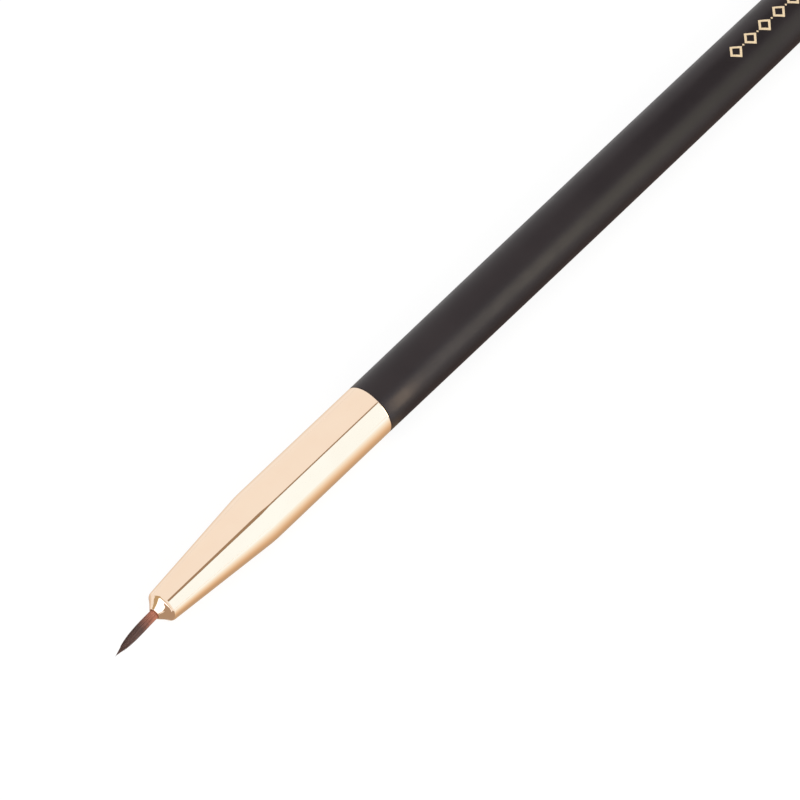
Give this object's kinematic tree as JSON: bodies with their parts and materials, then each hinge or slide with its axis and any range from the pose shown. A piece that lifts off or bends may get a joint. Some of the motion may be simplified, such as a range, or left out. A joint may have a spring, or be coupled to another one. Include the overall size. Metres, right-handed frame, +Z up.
{
  "type": "fine detail brush",
  "caption": "Fine pointed detail brush: a tapered filament tuft in a gold-plated tapering ferrule on a slim black lacquered wooden handle.",
  "frame": {"origin": "on the surface the brush lies on, midway along its length and under its axis", "axes": "+X along the brush from the tip to the handle's end, +Z up, +Y to the left of +X seen from above"},
  "size_m": [0.175, 0.0072, 0.0073],
  "materials": {
    "lacquered_wood": "satin black lacquer over turned hardwood, bare wood on the tenon",
    "gold_plate": "mirror-polished pale rose-gold plating",
    "filament_core": "tapered synthetic filaments, dark brown",
    "filament": "tapered synthetic filaments, red-brown at the root and dark brown at the tip",
    "thread": "twisted polyester thread",
    "resin": "cast amber epoxy",
    "wood_glue": "set wood glue",
    "gold_foil": "hot-stamped gold foil"
  },
  "bodies": {
    "root": {"handle": "lacquered_wood", "ferrule": "gold_plate", "core_filaments": "filament_core", "outer_filaments": "filament", "binding_thread": "thread", "root_glue": "resin", "tenon_glue": "wood_glue", "foil_mark": "gold_foil"}
  },
  "joints": []
}
